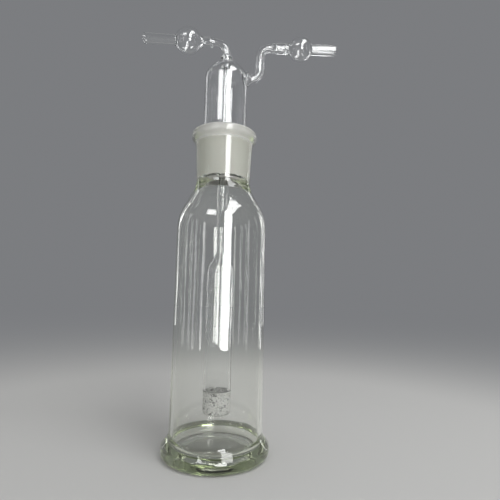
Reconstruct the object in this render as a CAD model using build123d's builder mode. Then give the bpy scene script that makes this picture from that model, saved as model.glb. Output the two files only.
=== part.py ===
from build123d import *
from math import atan2, cos, radians, sin, sqrt, tan
import os

# Gas washing bottle: a footed glass bottle, a lamp-worked head that hangs in its ground
# neck, and the sintered-glass tip at the lower end of the head's dip tube.
# Millimetres, +Z up. The origin is the centre of the ring that the foot stands on, on the
# axis of the bottle and of the head. The two hose ends lie in the XZ plane.

# ---- the standard ground joint 29/32: cone and socket share one taper ----
joint_d = 29.2  # the socket's mouth, at the collar's top face
joint_length = 32.0  # the ground zone, down from the mouth
joint_taper = 0.1  # on the diameter: 1 in 10
joint_clearance = 0.03  # radial, between the seated cone and the socket

# ---- bottle ----
bottle_height = 212.3  # to the collar's top face
body_d = 59.8
body_wall = 2.4
throat_drop = 2.83  # inside, from the ground zone's end down to the shoulder's slope
shoulder_lean = 30.0  # degrees from upright
shoulder_radius = 30.0
throat_radius = 15.0  # outside, from the shoulder into the neck
throat_inner_radius = 8.0
neck_wall = 4.85
collar_d = 44.4
collar_height = 5.2
collar_flare = 2.4  # height of the slope under the collar
collar_radius = 2.2
mouth_radius = 0.6

foot_d = 68.7
foot_rim_height = 7.2
foot_slope_height = 5.8  # from the rim up to the side of the body
foot_rim_radius = 4.2
foot_edge_radius = 2.6
foot_blend_radius = 4.0
foot_ring_inner_d = 50.0  # inside this the foot is lifted off the table
foot_recess = 1.8
foot_recess_slope = 6.0
floor_thickness = 5.2
floor_radius = 4.5

# ---- head: cone, dome and ring seal ----
cone_overhang = 2.3  # clear fire-polished end of the cone below its ground zone
cone_wall = 2.3
cone_tip_radius = 0.9  # on both sides of the polished end
shank_rise = 4.6  # above the mouth, where the cone's line ends in the dome's upright side
dome_wall = 1.8
dome_rise = 47.9  # above the mouth, where the dome's side would meet the slope of its top
dome_top_lean = 20.0  # degrees from level
dome_radius = 12.6
seal_radius = 1.5  # blend of the dome's top into the inlet tube
inner_seal_radius = 0.8  # blend of the dome's inside into the dip tube
seal_bead_gap = 2.1  # from the dome's top up to the bead's lower flank
seal_bead_d = 9.0
seal_bead_radius = 1.1

# ---- head: dip tube and trap chamber ----
dip_d = 7.0
dip_wall = 1.2
chamber_d = 18.0
chamber_wall = 1.3
chamber_drop = 83.5  # below the mouth, where the dip tube would meet the chamber's slope
chamber_slope_height = 9.8
chamber_radius = 9.0
chamber_blend_radius = 2.0

# ---- head: arms ----
bend_tube_d = 5.6
bend_wall = 1.1
hose_wall = 1.3  # of the two hose ends
arm_lead = 0.2  # straight, before and after a bend
run_taper_length = 3.5  # from the drawn-out bend up to the full tube
tube_rim_radius = 0.55  # fire-polished hose ends
bulb_wall = 1.1
bulb_inner_blend = 2.5  # on the side towards the head
bulb_outer_blend = 0.8  # on the side towards the hose end
bulb_mouth_d = 6.4  # of the bore, where its neck opens into the bulb on the head's side
bulb_neck_d = 1.7  # where the glass drew together before the bulb was blown
bulb_neck_length = 3.0  # from the neck to the mouth
bulb_neck_lead = 1.6  # from the full bore to the neck
bulb_neck_radius = 1.0

inlet_stub = 0.7  # from the bead's upper flank up to the lead of the bend
inlet_bend_radius = 8.8
inlet_run_d = 7.0
inlet_run_wall = 2.2
inlet_bulb_x = 27.6
inlet_bulb_d = 18.9
inlet_end_reach = 31.4  # from the bulb's middle
inlet_end_d = 7.2

outlet_root_d = 11.0  # the flare where the outlet leaves the dome
outlet_root_collar = 0.2  # how far the flare stands out at its full width
outlet_root_slope = 2.6
outlet_root_sink = 0.3  # how far the flare's thin end lies under the side of the bend
outlet_root_radius = 1.5
outlet_drop = 6.7  # of the outlet's axis below the corner of the dome
outlet_riser_gap = 8.9  # from the dome's side out to the riser's axis
outlet_riser_height = 24.7  # from corner to corner
outlet_bend_radius = 8.0
outlet_arm_rise = 1.5  # degrees
outlet_run_d = 7.5
outlet_run_wall = 1.4
outlet_bulb_reach = 29.0  # out from the riser's axis
outlet_bulb_d = 17.3
outlet_end_reach = 25.9  # from the bulb's middle
outlet_end_d = 7.2

# ---- sintered tip ----
tip_gap = 19.8  # above the bottle's floor
tip_length = 15.0
tip_proud = 0.2  # radial, outside the chamber
tip_wall = 3.0
tip_radius = 2.5  # also of the cup's inside


# ---------------------------------------------------------------- the shared joint
socket_r = joint_d / 2
socket_end_z = bottle_height - joint_length
socket_end_r = socket_r - joint_length * joint_taper / 2


def socket_r_at(z):
    """Radius of the ground socket, and of its cone's line, at a height."""
    return socket_end_r + (z - socket_end_z) * joint_taper / 2


# ---------------------------------------------------------------- bottle
body_r = body_d / 2
collar_r = collar_d / 2
foot_r = foot_d / 2
foot_ring_r = foot_ring_inner_d / 2
inner_r = body_r - body_wall
shoulder_slope = tan(radians(shoulder_lean))
neck_end_r = socket_end_r + neck_wall
throat_z = socket_end_z - throat_drop
inner_shoulder_z = throat_z - (inner_r - socket_end_r) / shoulder_slope
shoulder_z = inner_shoulder_z + body_wall * tan(radians(shoulder_lean / 2))
neck_end_z = shoulder_z + (body_r - neck_end_r) / shoulder_slope
collar_z = bottle_height - collar_height

# each corner of the glass's half section, with the radius that rounds it
bottle_corners = [
    ((foot_ring_r - foot_recess_slope, foot_recess), foot_recess_slope),
    ((foot_ring_r, 0), 0),
    ((foot_r, 0), foot_rim_radius),
    ((foot_r, foot_rim_height), foot_edge_radius),
    ((body_r, foot_rim_height + foot_slope_height), foot_blend_radius),
    ((body_r, shoulder_z), shoulder_radius),
    ((neck_end_r, neck_end_z), throat_radius),
    ((socket_r + neck_wall, collar_z - collar_flare), collar_radius),
    ((collar_r, collar_z), collar_radius),
    ((collar_r, bottle_height), collar_radius),
    ((socket_r, bottle_height), mouth_radius),
    ((socket_end_r, socket_end_z), 0),
    ((socket_end_r, throat_z), throat_inner_radius),
    ((inner_r, inner_shoulder_z), shoulder_radius - body_wall),
    ((inner_r, floor_thickness), floor_radius),
]

with BuildPart() as bottle:
    with BuildSketch(Plane.XZ):
        with BuildLine():
            section = FilletPolyline(
                (0, foot_recess),
                *[point for point, radius in bottle_corners],
                (0, floor_thickness),
                radius=[radius for point, radius in bottle_corners],
            )
            Line(section @ 1, section @ 0)
        make_face()
    revolve(axis=Axis.Z)
bottle.part.label = "bottle"


# ---------------------------------------------------------------- head
def turned(corners, mode=Mode.ADD):
    """Revolve a closed outline of (point, radius) corners about the Z axis."""
    points = [point for point, radius in corners]
    radii = [radius for point, radius in corners[1:-1]]
    with BuildSketch(Plane.XZ) as half:
        with BuildLine():
            outline = FilletPolyline(*points, radius=radii)
            Line(outline @ 1, outline @ 0)
        make_face()
    revolve(half.sketch, axis=Axis.Z, mode=mode)


def bent_rod(points, bend_radius, rod_r, mode=Mode.ADD):
    """A round rod along a route in the XZ plane, whose corners share one radius."""
    with BuildLine(Plane.XZ) as route:
        path = FilletPolyline(*points, radius=bend_radius)
    with BuildSketch(Plane(origin=path @ 0, z_dir=path % 0)) as end:
        Circle(rod_r)
    sweep(end.sketch, path=route.wires()[0], mode=mode)


def blown_rod(
    plane, start_r, run_r, bulb_at, bulb_r, end_at, end_r, necked=False, mode=Mode.ADD
):
    """A straight rod with one bulb, turned about its plane's X axis, along which it runs.

    A necked one draws in before its bulb and opens into it like a funnel.
    """
    mouth_r = bulb_mouth_d / 2 if necked else run_r
    mouth = (bulb_at - sqrt(bulb_r**2 - mouth_r**2), mouth_r)
    after = (bulb_at + sqrt(bulb_r**2 - end_r**2), end_r)
    neck = (mouth[0] - bulb_neck_length, bulb_neck_d / 2)
    lead = (neck[0] - bulb_neck_lead, run_r)
    blends = {mouth: bulb_inner_blend, after: bulb_outer_blend}
    if necked:
        blends |= {neck: bulb_neck_radius, lead: bulb_neck_radius}
    drawn = [lead, neck] if necked else []
    with BuildSketch(plane) as half:
        with BuildLine():
            Polyline((0, 0), (0, start_r), (run_taper_length, run_r), *drawn, mouth)
            ThreePointArc(mouth, (bulb_at, bulb_r), after)
            Polyline(after, (end_at, end_r), (end_at, 0), (0, 0))
        make_face()
        for corner, blend in blends.items():
            fillet(half.vertices().sort_by_distance(corner)[0], blend)
    revolve(half.sketch, axis=Axis(plane.origin, plane.x_dir), mode=mode)


def outlet_root(root_r, rod_r, mode=Mode.ADD):
    """The flare between the dome and the outlet tube, turned about the tube's first run."""
    end_x = outlet_root_x + outlet_root_slope
    with BuildSketch(Plane.XZ) as half:
        with BuildLine():
            outline = FilletPolyline(
                (outlet_start_x, outlet_z),
                (outlet_start_x, outlet_z + root_r),
                (outlet_root_x, outlet_z + root_r),
                (end_x, outlet_z + rod_r - outlet_root_sink),
                (end_x, outlet_z),
                radius=[0, outlet_root_radius, 0],
            )
            Line(outline @ 1, outline @ 0)
        make_face()
    revolve(half.sketch, axis=Axis((0, 0, outlet_z), (1, 0, 0)), mode=mode)


dip_r = dip_d / 2
dip_bore_r = dip_r - dip_wall
chamber_r = chamber_d / 2
chamber_bore_r = chamber_r - chamber_wall
tip_end_z = floor_thickness + tip_gap
chamber_end_z = tip_end_z + tip_length
chamber_top_z = bottle_height - chamber_drop
chamber_slope_z = chamber_top_z - chamber_slope_height
chamber_lean = atan2(chamber_r - dip_r, chamber_slope_height)
wall_drop = chamber_wall * tan(chamber_lean / 2)  # a corner's fall from outside to inside

cone_end_z = socket_end_z - cone_overhang
cone_end_r = socket_r_at(cone_end_z) - joint_clearance
cone_inner_r = cone_end_r - cone_wall
shank_z = bottle_height + shank_rise
dome_r = socket_r_at(shank_z) - joint_clearance
dome_inner_r = dome_r - dome_wall
dome_corner_z = bottle_height + dome_rise
dome_inner_corner_z = dome_corner_z - dome_wall * tan(radians(90 - dome_top_lean) / 2)
top_slope = tan(radians(dome_top_lean))
bend_r = bend_tube_d / 2
bend_bore_r = bend_r - bend_wall
seal_z = dome_corner_z + (dome_r - bend_r) * top_slope
inner_seal_z = dome_inner_corner_z + (dome_inner_r - dip_r) * top_slope
seal_bead_r = seal_bead_d / 2
seal_bead_half = seal_bead_r - bend_r  # its flanks slope at 45 degrees
seal_bead_z = seal_z + seal_bead_gap + seal_bead_half
inlet_stub_z = seal_bead_z + seal_bead_half + inlet_stub

axial_outline = [
    ((0, chamber_end_z), 0),
    ((chamber_r, chamber_end_z), 0),
    ((chamber_r, chamber_slope_z), chamber_radius),
    ((dip_r, chamber_top_z), chamber_blend_radius),
    ((dip_r, cone_end_z), 0),
    ((cone_end_r, cone_end_z), cone_tip_radius),
    ((dome_r, shank_z), 0),
    ((dome_r, dome_corner_z), dome_radius),
    ((bend_r, seal_z), seal_radius),
    ((bend_r, seal_bead_z - seal_bead_half), seal_bead_radius),
    ((seal_bead_r, seal_bead_z), seal_bead_radius),
    ((bend_r, seal_bead_z + seal_bead_half), seal_bead_radius),
    ((bend_r, inlet_stub_z), 0),
    ((0, inlet_stub_z), 0),
]
dome_hollow = [
    ((cone_inner_r, cone_end_z), 0),
    ((dome_inner_r, shank_z), 0),
    ((dome_inner_r, dome_inner_corner_z), dome_radius - dome_wall),
    ((dip_r, inner_seal_z), inner_seal_radius),
    ((dip_r, cone_end_z), 0),
]
dip_bore = [
    ((0, chamber_end_z), 0),
    ((chamber_bore_r, chamber_end_z), 0),
    ((chamber_bore_r, chamber_slope_z - wall_drop), chamber_radius),
    ((dip_bore_r, chamber_top_z - wall_drop), chamber_blend_radius),
    ((dip_bore_r, seal_z), 0),
    ((bend_bore_r, seal_bead_z), 0),
    ((bend_bore_r, inlet_stub_z), 0),
    ((0, inlet_stub_z), 0),
]

inlet_z = inlet_stub_z + arm_lead + inlet_bend_radius
inlet_start_x = inlet_bend_radius + arm_lead
inlet_end_x = inlet_bulb_x + inlet_end_reach
inlet_plane = Plane(origin=(-inlet_start_x, 0, inlet_z), x_dir=(-1, 0, 0), z_dir=(0, 1, 0))
inlet_route = [(0, inlet_stub_z), (0, inlet_z), (-inlet_start_x, inlet_z)]

outlet_start_x = dome_r / 2  # inside the dome, where the hollow is cut away later
outlet_root_x = dome_r + outlet_root_collar
outlet_z = dome_corner_z - outlet_drop
outlet_riser_x = dome_r + outlet_riser_gap
outlet_arm_z = outlet_z + outlet_riser_height
outlet_bulb_x = outlet_riser_x + outlet_bulb_reach
outlet_end_x = outlet_bulb_x + outlet_end_reach
rise = radians(outlet_arm_rise)
outlet_turn = radians(90) - rise
outlet_corner = outlet_bend_radius * tan(outlet_turn / 2) + arm_lead  # to the run's start
outlet_arm_x = outlet_riser_x + outlet_corner * cos(rise)
outlet_plane = Plane(
    origin=(outlet_arm_x, 0, outlet_arm_z + outlet_corner * sin(rise)),
    x_dir=(cos(rise), 0, sin(rise)),
    z_dir=(0, -1, 0),
)
outlet_route = [
    (outlet_start_x, outlet_z),
    (outlet_riser_x, outlet_z),
    (outlet_riser_x, outlet_arm_z),
    (outlet_plane.origin.X, outlet_plane.origin.Z),
]


def inlet_arm(depth, mode=Mode.ADD):
    """The inlet's bend, run, bulb and hose end; depth 0 is the outside, 1 the bore."""
    bent_rod(inlet_route, inlet_bend_radius, bend_r - depth * bend_wall, mode)
    blown_rod(
        inlet_plane,
        bend_r - depth * bend_wall,
        inlet_run_d / 2 - depth * inlet_run_wall,
        inlet_bulb_x - inlet_start_x,
        inlet_bulb_d / 2 - depth * bulb_wall,
        inlet_end_x - inlet_start_x,
        inlet_end_d / 2 - depth * hose_wall,
        necked=depth == 1,
        mode=mode,
    )


def outlet_arm(depth, mode=Mode.ADD):
    """The outlet's flare, S-bend, run, bulb and hose end; depth as for the inlet."""
    outlet_root(outlet_root_d / 2 - depth * dome_wall, bend_r - depth * bend_wall, mode)
    bent_rod(outlet_route, outlet_bend_radius, bend_r - depth * bend_wall, mode)
    blown_rod(
        outlet_plane,
        bend_r - depth * bend_wall,
        outlet_run_d / 2 - depth * outlet_run_wall,
        (outlet_bulb_x - outlet_arm_x) / cos(rise),
        outlet_bulb_d / 2 - depth * bulb_wall,
        (outlet_end_x - outlet_arm_x) / cos(rise),
        outlet_end_d / 2 - depth * hose_wall,
        necked=depth == 1,
        mode=mode,
    )


with BuildPart() as head:
    turned(axial_outline)
    outlet_arm(depth=0)
    turned(dome_hollow, mode=Mode.SUBTRACT)
    outlet_arm(depth=1, mode=Mode.SUBTRACT)
    inlet_arm(depth=0)
    turned(dip_bore, mode=Mode.SUBTRACT)
    inlet_arm(depth=1, mode=Mode.SUBTRACT)
    inlet_rim = head.faces().sort_by(Axis.X)[0]
    outlet_rim = head.faces().sort_by(Axis(outlet_plane.origin, outlet_plane.x_dir))[-1]
    fillet(inlet_rim.edges() + outlet_rim.edges(), tube_rim_radius)
    cone_edge = head.edges().sort_by_distance((cone_inner_r, 0, cone_end_z))[0]
    fillet(cone_edge, cone_tip_radius)
head.part.label = "head"


# ---------------------------------------------------------------- sintered tip
tip_r = chamber_r + tip_proud
tip_floor_z = tip_end_z + tip_wall

with BuildPart() as tip:
    turned(
        [
            ((0, tip_end_z), 0),
            ((tip_r, tip_end_z), tip_radius),
            ((tip_r, chamber_end_z), 0),
            ((tip_r - tip_wall, chamber_end_z), 0),
            ((tip_r - tip_wall, tip_floor_z), tip_radius),
            ((0, tip_floor_z), 0),
        ]
    )
tip.part.label = "tip"


os.makedirs("parts", exist_ok=True)
for piece in (bottle, head, tip):
    export_step(piece.part, f"parts/{piece.part.label}.step")
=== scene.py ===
from math import ceil, cos, pi, radians, sin

import bpy
from mathutils import Matrix, Vector, noise


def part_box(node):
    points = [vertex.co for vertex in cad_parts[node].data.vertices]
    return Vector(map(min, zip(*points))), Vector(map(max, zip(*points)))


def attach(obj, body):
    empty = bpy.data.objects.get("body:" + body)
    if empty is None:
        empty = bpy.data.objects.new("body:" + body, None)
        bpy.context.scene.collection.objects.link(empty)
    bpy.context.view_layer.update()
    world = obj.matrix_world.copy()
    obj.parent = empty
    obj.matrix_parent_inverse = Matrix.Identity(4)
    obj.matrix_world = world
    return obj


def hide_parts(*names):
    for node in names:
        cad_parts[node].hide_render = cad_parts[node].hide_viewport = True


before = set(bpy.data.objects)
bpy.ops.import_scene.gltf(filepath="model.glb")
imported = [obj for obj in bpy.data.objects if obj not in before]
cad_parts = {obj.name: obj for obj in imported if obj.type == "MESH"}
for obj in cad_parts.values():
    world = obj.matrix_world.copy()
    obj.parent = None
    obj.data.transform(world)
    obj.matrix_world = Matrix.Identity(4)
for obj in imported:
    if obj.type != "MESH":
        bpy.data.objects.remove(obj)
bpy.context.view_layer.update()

# Gas washing bottle. Metres, +Z up. The bottle and the head are the CAD solids with glass
# materials; the tip is a mesh of sintered grains made here.

scene = bpy.context.scene
mm = 0.001

# ---- heights and radii taken from the frame ----
bottle_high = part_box("bottle")[1]
tip_low, tip_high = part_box("tip")
mouth_z = bottle_high.z
ground_length = 32 * mm  # of the standard ground joint, down from the mouth
ground_low_z = mouth_z - ground_length
ground_inner_r = 12.8 * mm  # both ground faces lie between these radii
ground_outer_r = 14.75 * mm
cone_end_z = ground_low_z - 2.3 * mm  # the cone's polished end, below its ground face
cone_end_highlight_heights = (cone_end_z - 1 * mm, cone_end_z + 0.5 * mm)  # its rim is made white here, a painted highlight of its polished end
cone_end_highlight_radii = (9.8 * mm, 12.9 * mm)
collar_low_z = mouth_z - 8.0 * mm
collar_inner_r = 19.0 * mm
beyond_r = 1.0  # farther out than any glass


# ------------------------------------------------------------------ node helpers
def link(tree, source, target, socket):
    tree.links.new(source, target.inputs[socket])


def math_node(tree, operation, first, second=None):
    """A Math node on two values, each a number or an output socket."""
    node = tree.nodes.new("ShaderNodeMath")
    node.operation = operation
    for index, value in enumerate((first, second)):
        if isinstance(value, (int, float)):
            node.inputs[index].default_value = value
        elif value is not None:
            link(tree, value, node, index)
    return node.outputs[0]


def smooth_step(tree, value, start, end, low=0.0, high=1.0):
    """Low before start, high after end, smooth between; start may be above end."""
    node = tree.nodes.new("ShaderNodeMapRange")
    node.interpolation_type = "SMOOTHSTEP"
    node.inputs["From Min"].default_value = start
    node.inputs["From Max"].default_value = end
    node.inputs["To Min"].default_value = low
    node.inputs["To Max"].default_value = high
    link(tree, value, node, "Value")
    return node.outputs["Result"]


def between(tree, share, low, high):
    """The number from low to high at this share."""
    node = tree.nodes.new("ShaderNodeMapRange")
    node.inputs["To Min"].default_value = low
    node.inputs["To Max"].default_value = high
    link(tree, share, node, "Value")
    return node.outputs["Result"]


def colour_between(tree, share, low, high):
    node = tree.nodes.new("ShaderNodeMix")
    node.data_type = "RGBA"
    node.inputs["A"].default_value = (*low, 1)
    node.inputs["B"].default_value = (*high, 1)
    link(tree, share, node, "Factor")
    return node.outputs["Result"]


def place(tree):
    """The point's own place on the object, its height and its distance from the axis."""
    coordinates = tree.nodes.new("ShaderNodeTexCoord").outputs["Object"]
    split = tree.nodes.new("ShaderNodeSeparateXYZ")
    link(tree, coordinates, split, 0)
    x, y, z = split.outputs
    squares = math_node(
        tree, "ADD", math_node(tree, "MULTIPLY", x, x), math_node(tree, "MULTIPLY", y, y)
    )
    return coordinates, z, math_node(tree, "SQRT", squares)


def noise_node(tree, coordinates, scale, detail=2.0, stretch=(1, 1, 1)):
    """Fractal noise, 0 to 1, finer along an axis where stretch is larger."""
    mapping = tree.nodes.new("ShaderNodeMapping")
    mapping.inputs["Scale"].default_value = stretch
    link(tree, coordinates, mapping, "Vector")
    node = tree.nodes.new("ShaderNodeTexNoise")
    node.inputs["Scale"].default_value = scale
    node.inputs["Detail"].default_value = detail
    link(tree, mapping.outputs["Vector"], node, "Vector")
    return node.outputs["Fac"]


def bump(tree, height, distance, under=None):
    """A Bump node's normal: the height is in units of the distance, in metres."""
    node = tree.nodes.new("ShaderNodeBump")
    node.inputs["Distance"].default_value = distance
    link(tree, height, node, "Height")
    if under is not None:
        link(tree, under, node, "Normal")
    return node.outputs["Normal"]


def new_material(name):
    material = bpy.data.materials.new(name)
    material.use_nodes = True
    material.node_tree.nodes.clear()
    return material, material.node_tree


def use_material(piece, material):
    piece.data.materials.clear()
    piece.data.materials.append(material)


# ------------------------------------------------------------------ glass
def band(tree, value, low, high, soft=0.1 * mm):
    """1 from low to high, with soft edges that lie outside them, and 0 elsewhere."""
    return math_node(
        tree,
        "MULTIPLY",
        smooth_step(tree, value, low - soft, low),
        smooth_step(tree, value, high + soft, high),
    )


def frosted_zone(tree, z, radius, heights, radii, strength=1.0, soft=0.1 * mm):
    """The share of the white finish on what lies between two heights and between two radii."""
    zone = math_node(
        tree, "MULTIPLY", band(tree, z, *heights, soft), band(tree, radius, *radii)
    )
    return math_node(tree, "MULTIPLY", zone, strength)


def frost_with_rim_highlight(tree, coordinates, z, radius):
    """1 on the joint's ground faces and on the rim of the cone's end, where the white is a painted
    highlight, less on the collar, else 0.
    """
    ragged_height = 2.4 * mm  # how far the ground faces' ends wander up and down
    edge = noise_node(tree, coordinates, scale=260, detail=3.0)
    ragged = math_node(tree, "MULTIPLY", math_node(tree, "SUBTRACT", edge, 0.5), ragged_height)
    height = math_node(tree, "ADD", z, ragged)
    ground = frosted_zone(
        tree, height, radius,
        heights=(ground_low_z, mouth_z + 2 * mm), radii=(ground_inner_r, ground_outer_r),
        strength=1.0, soft=0.5 * mm,
    )
    below_mouth = smooth_step(tree, z, mouth_z - 0.1 * mm, mouth_z - 0.5 * mm)
    ground = math_node(tree, "MULTIPLY", ground, below_mouth)
    collar = frosted_zone(
        tree, z, radius,
        heights=(collar_low_z, mouth_z), radii=(collar_inner_r, beyond_r),
        strength=0.30, soft=1.5 * mm,
    )
    # painted highlight: the white finish on the cone end's rim stands in for the bright ring of
    # light in its polished end
    rim_highlight_share = frosted_zone(
        tree, z, radius,
        heights=cone_end_highlight_heights, radii=cone_end_highlight_radii, strength=1.0, soft=0.2 * mm,
    )
    return math_node(tree, "MAXIMUM", ground, math_node(tree, "MAXIMUM", collar, rim_highlight_share))


def glass(name, tint, density, wave_depth, ior):
    """Clear glass with a white ground finish on the joint's faces, and the same white finish on the
    cone end's rim as a painted highlight.

    tint and density colour the light by the length of its way through the glass; wave_depth
    is that of the slight waves that drawing and blowing left along the axis.
    """
    material, tree = new_material(name)
    coordinates, z, radius = place(tree)
    # this share also carries the painted highlight on the cone end's rim
    frost_and_highlight = frost_with_rim_highlight(tree, coordinates, z, radius)

    waves = noise_node(tree, coordinates, scale=70, detail=1.0, stretch=(1, 1, 0.05))
    fine_waves = noise_node(tree, coordinates, scale=210, detail=2.0, stretch=(1, 1, 0.12))
    grain = noise_node(tree, coordinates, scale=2600, detail=3.0)
    waved = bump(tree, waves, wave_depth)
    waved = bump(tree, fine_waves, wave_depth * 0.22, waved)
    grained = bump(tree, math_node(tree, "MULTIPLY", grain, frost_and_highlight), 0.07 * mm, waved)

    streaks = noise_node(tree, coordinates, scale=420, detail=2.0, stretch=(1, 1, 0.03))
    white = colour_between(tree, streaks, (0.95, 0.92, 0.92), (1.0, 0.985, 0.99))
    colour = tree.nodes.new("ShaderNodeMix")
    colour.data_type = "RGBA"
    colour.inputs["A"].default_value = (1, 1, 1, 1)
    link(tree, frost_and_highlight, colour, "Factor")
    link(tree, white, colour, "B")

    surface = tree.nodes.new("ShaderNodeBsdfPrincipled")
    surface.inputs["IOR"].default_value = ior
    link(tree, colour.outputs["Result"], surface, "Base Color")
    link(tree, between(tree, frost_and_highlight, 0.0, 0.55), surface, "Roughness")
    link(tree, between(tree, frost_and_highlight, 1.0, 0.04), surface, "Transmission Weight")
    link(tree, grained, surface, "Normal")
    body = tree.nodes.new("ShaderNodeVolumeAbsorption")
    body.inputs["Color"].default_value = (*tint, 1)
    body.inputs["Density"].default_value = density
    output = tree.nodes.new("ShaderNodeOutputMaterial")
    link(tree, surface.outputs["BSDF"], output, "Surface")
    link(tree, body.outputs["Volume"], output, "Volume")
    return material


# ------------------------------------------------------------------ sintered tip
tip_r = tip_high.x
tip_wall = 3 * mm
tip_round = 2.5 * mm  # of the bottom's edge and of the cup's inside
tip_bottom_z = tip_low.z
tip_top_z = tip_high.z
grain_size = 1.45 * mm
pit_depth = 0.9 * mm
seal_height = 0.9 * mm  # the grains are melted smooth where they join the tube
outer_step = 0.2 * mm
inner_step = 0.4 * mm
tip_turns = 288


def quarter(centre_r, centre_z, radius, start, end):
    """A rounded edge from one angle to the other, in degrees from the outward direction."""
    steps = max(2, ceil(abs(radians(end - start)) * radius / outer_step))
    for step in range(steps + 1):
        angle = radians(start + (end - start) * step / steps)
        yield centre_r + radius * cos(angle), centre_z + radius * sin(angle)


def straight(start, end, spacing):
    """Points from start up to, but not including, end."""
    length = (Vector(end) - Vector(start)).length
    count = ceil(length / spacing)
    for step in range(count):
        point = Vector(start).lerp(Vector(end), step / count)
        yield point.x, point.y


def tip_profile():
    """(radius, height) down the outside, under the bottom and back along the cup."""
    axis_r = 0.15 * mm  # of the small flat that closes the middle
    cup_r = tip_r - tip_wall
    cup_z = tip_bottom_z + tip_wall
    outside = [
        *straight((tip_r, tip_top_z), (tip_r, tip_bottom_z + tip_round), outer_step),
        *quarter(tip_r - tip_round, tip_bottom_z + tip_round, tip_round, 0, -90),
        *straight((tip_r - tip_round, tip_bottom_z), (axis_r, tip_bottom_z), outer_step),
    ]
    inside = [
        *straight((axis_r, cup_z), (cup_r - tip_round, cup_z), inner_step),
        *quarter(cup_r - tip_round, cup_z + tip_round, tip_round, -90, 0),
        *straight((cup_r, cup_z + tip_round), (cup_r, tip_top_z), inner_step),
        (cup_r, tip_top_z),
    ]
    return outside, inside


def grain_depth(point):
    """How far the surface lies under its smooth form: crowned grains, gaps and lost grains."""
    shaken = point / grain_size + 0.35 * noise.noise_vector(point / (2.5 * grain_size))
    distances, centres = noise.voronoi(shaken)
    crown = min(1.0, distances[0] / 0.8) ** 2
    gap = 1 - min(1.0, (distances[1] - distances[0]) / 0.22)
    lost = noise.cell(centres[0] * 7.31) > 0.72
    return min(1.0, 0.10 + 0.30 * crown + 0.42 * gap + (0.38 if lost else 0.0))


def make_tip():
    """The cup of coarse glass grains, sintered together, that the gas leaves through."""
    outside, inside = tip_profile()
    profile = outside + inside
    points, depths = [], []
    for ring, (r, z) in enumerate(profile):
        before = Vector(profile[max(0, ring - 1)])
        after = Vector(profile[min(len(profile) - 1, ring + 1)])
        along = (after - before).normalized()
        inward = Vector((along.y, -along.x))
        fade = min(1.0, (tip_top_z - z) / seal_height)
        for turn in range(tip_turns):
            angle = 2 * pi * turn / tip_turns
            flat = Vector((r * cos(angle), r * sin(angle), z))
            depth = grain_depth(flat) * fade
            moved = r + inward.x * depth * pit_depth
            height = z + inward.y * depth * pit_depth
            points.append((moved * cos(angle), moved * sin(angle), height))
            depths.append(depth)
    faces = []
    rings = len(profile)
    for ring in range(rings):
        following = (ring + 1) % rings
        if ring == len(outside) - 1:
            continue
        for turn in range(tip_turns):
            right = (turn + 1) % tip_turns
            faces.append(
                (
                    ring * tip_turns + turn,
                    following * tip_turns + turn,
                    following * tip_turns + right,
                    ring * tip_turns + right,
                )
            )
    first_cup_ring = len(outside) * tip_turns
    last_outer_ring = first_cup_ring - tip_turns
    faces.append(tuple(last_outer_ring + turn for turn in range(tip_turns)))
    faces.append(tuple(first_cup_ring + turn for turn in reversed(range(tip_turns))))
    mesh = bpy.data.meshes.new("sintered_tip")
    mesh.from_pydata(points, [], faces)
    mesh.validate()
    # the depth is also read by the tip's material, as painted shade in the pits
    attribute = mesh.attributes.new("depth", "FLOAT", "POINT")
    attribute.data.foreach_set("value", depths)
    mesh.polygons.foreach_set("use_smooth", [True] * len(mesh.polygons))
    piece = bpy.data.objects.new("sintered_tip", mesh)
    scene.collection.objects.link(piece)
    return piece


def sintered():
    """White glass grains, milky inside, with painted shade that darkens them down in the gaps."""
    material, tree = new_material("sintered_glass")
    coordinates, _, _ = place(tree)
    depth = tree.nodes.new("ShaderNodeAttribute")
    depth.attribute_name = "depth"
    surface = tree.nodes.new("ShaderNodeBsdfPrincipled")
    surface.inputs["IOR"].default_value = 1.47
    surface.inputs["Roughness"].default_value = 0.2
    surface.inputs["Transmission Weight"].default_value = 0.2
    # painted shade: the colour goes from white to near black with depth into the pits and gaps
    pit_shade = smooth_step(tree, depth.outputs["Fac"], 0.45, 0.95)
    colour = colour_between(tree, pit_shade, (1.0, 1.0, 0.98), (0.16, 0.16, 0.15))
    link(tree, colour, surface, "Base Color")
    facets = noise_node(tree, coordinates, scale=1900, detail=2.0)
    link(tree, bump(tree, facets, 0.25 * mm), surface, "Normal")
    output = tree.nodes.new("ShaderNodeOutputMaterial")
    link(tree, surface.outputs["BSDF"], output, "Surface")
    return material


# ------------------------------------------------------------------ floor, world and lamps
floor_colour = (0.60, 0.60, 0.59)
backdrop = (0.20, 0.205, 0.215)
backdrop_start = 0.25  # radius where the floor's colour begins to turn into the backdrop's
backdrop_end = 3.0
floor_radius = 6.0
plain_strength = 0.5  # of the world's white light


def make_floor():
    """A round floor whose colour goes over into the backdrop's with distance."""
    bpy.ops.mesh.primitive_circle_add(vertices=128, radius=floor_radius, fill_type="NGON")
    floor = bpy.context.object
    floor.name = "floor"
    material, tree = new_material("floor")
    _, _, radius = place(tree)
    near = tree.nodes.new("ShaderNodeBsdfPrincipled")
    near.inputs["Roughness"].default_value = 0.9
    near.inputs["Base Color"].default_value = (*floor_colour, 1)
    far = tree.nodes.new("ShaderNodeEmission")
    far.inputs["Color"].default_value = (*backdrop, 1)
    mix = tree.nodes.new("ShaderNodeMixShader")
    nearness = math_node(tree, "DIVIDE", 1.0, radius)
    link(tree, smooth_step(tree, nearness, 1 / backdrop_start, 1 / backdrop_end), mix, 0)
    link(tree, near.outputs["BSDF"], mix, 1)
    link(tree, far.outputs["Emission"], mix, 2)
    output = tree.nodes.new("ShaderNodeOutputMaterial")
    link(tree, mix.outputs["Shader"], output, "Surface")
    use_material(floor, material)


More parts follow.
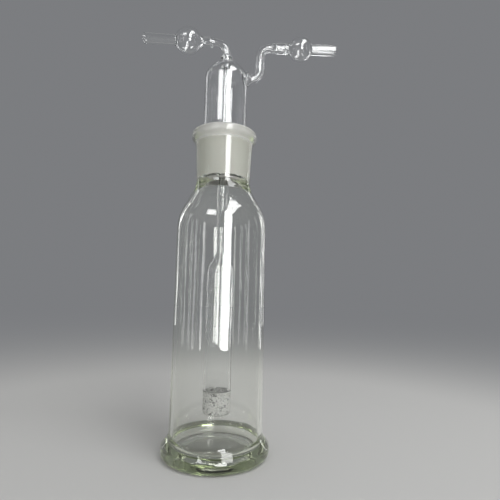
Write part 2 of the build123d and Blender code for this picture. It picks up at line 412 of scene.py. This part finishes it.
def make_world():
    """The backdrop, for what is seen, reflected or seen through glass, and plain white light."""
    world = bpy.data.worlds.new("studio")
    scene.world = world
    world.use_nodes = True
    tree = world.node_tree
    tree.nodes.clear()
    paths = tree.nodes.new("ShaderNodeLightPath")
    seen = math_node(
        tree, "MAXIMUM", paths.outputs["Is Camera Ray"], paths.outputs["Is Glossy Ray"]
    )
    seen = math_node(tree, "MAXIMUM", seen, paths.outputs["Is Transmission Ray"])
    direct = math_node(tree, "LESS_THAN", paths.outputs["Diffuse Depth"], 0.5)
    seen = math_node(tree, "MULTIPLY", seen, direct)
    plain = tree.nodes.new("ShaderNodeBackground")
    plain.inputs["Color"].default_value = (1, 1, 1, 1)
    plain.inputs["Strength"].default_value = plain_strength
    pale = tree.nodes.new("ShaderNodeBackground")
    pale.inputs["Color"].default_value = (*backdrop, 1)
    mix = tree.nodes.new("ShaderNodeMixShader")
    link(tree, seen, mix, 0)
    link(tree, plain.outputs["Background"], mix, 1)
    link(tree, pale.outputs["Background"], mix, 2)
    output = tree.nodes.new("ShaderNodeOutputWorld")
    link(tree, mix.outputs["Shader"], output, "Surface")


def panel(name, width, height, light, shine, seen_through=False):
    """A flat lamp of this radiance, and of a brighter one where glass reflects it.

    Unless seen_through, it is out for a ray that only went through glass, so that it isn't
    seen behind the object.
    """
    data = bpy.data.lights.new(name, "AREA")
    data.shape = "RECTANGLE"
    data.size = width
    data.size_y = height
    data.energy = pi * width * height
    data.use_nodes = True
    tree = data.node_tree
    tree.nodes.clear()
    paths = tree.nodes.new("ShaderNodeLightPath")
    turns = math_node(
        tree, "SUBTRACT", paths.outputs["Ray Depth"], paths.outputs["Transmission Depth"]
    )
    turned = math_node(tree, "GREATER_THAN", turns, 1.5)  # the lamp's own hit counts as one
    unscattered = math_node(tree, "LESS_THAN", paths.outputs["Diffuse Depth"], 0.5)
    level = between(tree, math_node(tree, "MULTIPLY", turned, unscattered), light, shine)
    if not seen_through:
        outside = math_node(tree, "LESS_THAN", paths.outputs["Transmission Depth"], 0.5)
        shown = math_node(tree, "MAXIMUM", turned, outside)
        level = math_node(tree, "MULTIPLY", level, shown)
    emission = tree.nodes.new("ShaderNodeEmission")
    link(tree, level, emission, "Strength")
    output = tree.nodes.new("ShaderNodeOutputLight")
    link(tree, emission.outputs["Emission"], output, "Surface")
    lamp = bpy.data.objects.new(name, data)
    lamp.visible_camera = False
    scene.collection.objects.link(lamp)
    return lamp


def softbox(name, azimuth, distance, low_z, high_z, width, light, shine):
    """An upright panel that faces the axis, azimuth degrees to the right of the camera."""
    lamp = panel(name, width, high_z - low_z, light, shine)
    angle = radians(azimuth)
    lamp.location = (distance * sin(angle), -distance * cos(angle), (low_z + high_z) / 2)
    lamp.rotation_euler = (radians(90), 0, angle)
    return lamp


def make_lamps(tip):
    """A ceiling panel for everything, and upright lamps that light the object alone.

    Light is the level that a lamp casts, and shine the level at which glass reflects it.
    """
    ceiling = panel("ceiling", 0.42, 0.95, 5.5, 9, seen_through=True)
    ceiling.location = (0.42, -0.68, 0.95)
    lit = bpy.data.collections.new("lit_by_upright_lamps")
    for piece in (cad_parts["bottle"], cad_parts["head"], tip):
        lit.objects.link(piece)
    for name, azimuth, distance, low_z, high_z, width, light, shine in (
        ("window_high", 16, 0.5, 0.27, 0.58, 0.18, 2, 14),
        ("window_low", 14.5, 0.5, 0.003, 0.232, 0.167, 5, 16),
        ("window_left", -30, 0.5, 0.41, 0.58, 0.22, 1, 10),
        ("strip_1", -80, 0.5, 0.003, 0.30, 0.02, 1, 3),
        ("strip_2", -64, 0.5, 0.003, 0.30, 0.025, 1, 4),
        ("strip_3", -43, 0.5, 0.003, 0.26, 0.03, 1, 4.5),
        ("strip_4", 71, 0.5, 0.003, 0.30, 0.02, 1, 2.5),
        ("strip_5", 128, 0.5, 0.003, 0.40, 0.03, 1, 4),
        ("rim_left", -138, 0.8, 0.02, 0.9, 0.05, 1, 2),
        ("rim_right", 146, 0.8, 0.02, 0.9, 0.05, 1, 2),
    ):
        lamp = softbox(name, azimuth, distance, low_z, high_z, width, light, shine)
        lamp.light_linking.receiver_collection = lit


# ------------------------------------------------------------------ camera
def make_camera():
    """The viewpoint of the photograph, found from the axis, the ellipses and the arms."""
    position = Vector((0, -0.2682, 0.1021))
    yaw, pitch, roll = radians(4.162), radians(6.2975), radians(1.275)
    focal_px, frame_px, sensor_mm = 398.81, 500, 36
    forward = Vector((sin(yaw) * cos(pitch), cos(yaw) * cos(pitch), sin(pitch)))
    right = Vector((cos(yaw), -sin(yaw), 0))
    up = right.cross(forward)
    rolled_right = cos(roll) * right + sin(roll) * up
    rolled_up = -sin(roll) * right + cos(roll) * up
    data = bpy.data.cameras.new("camera")
    data.sensor_width = sensor_mm
    data.lens = focal_px / frame_px * sensor_mm
    data.clip_start = 0.01
    camera = bpy.data.objects.new("camera", data)
    scene.collection.objects.link(camera)
    turn = Matrix((rolled_right, rolled_up, -forward)).transposed().to_4x4()
    camera.matrix_world = Matrix.Translation(position) @ turn
    scene.camera = camera


bottle_glass = glass("bottle_glass", (0.66, 0.75, 0.44), density=26, wave_depth=0.26 * mm, ior=1.51)
head_glass = glass("head_glass", (0.70, 0.76, 0.74), density=30, wave_depth=0.10 * mm, ior=1.47)
use_material(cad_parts["bottle"], bottle_glass)
use_material(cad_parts["head"], head_glass)

sintered_tip = make_tip()
use_material(sintered_tip, sintered())
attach(sintered_tip, "head")
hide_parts("tip")

make_floor()
make_world()
make_lamps(sintered_tip)
make_camera()
scene.view_settings.view_transform = "Standard"
scene.cycles.max_bounces = 32
scene.cycles.transmission_bounces = 32
scene.cycles.glossy_bounces = 12
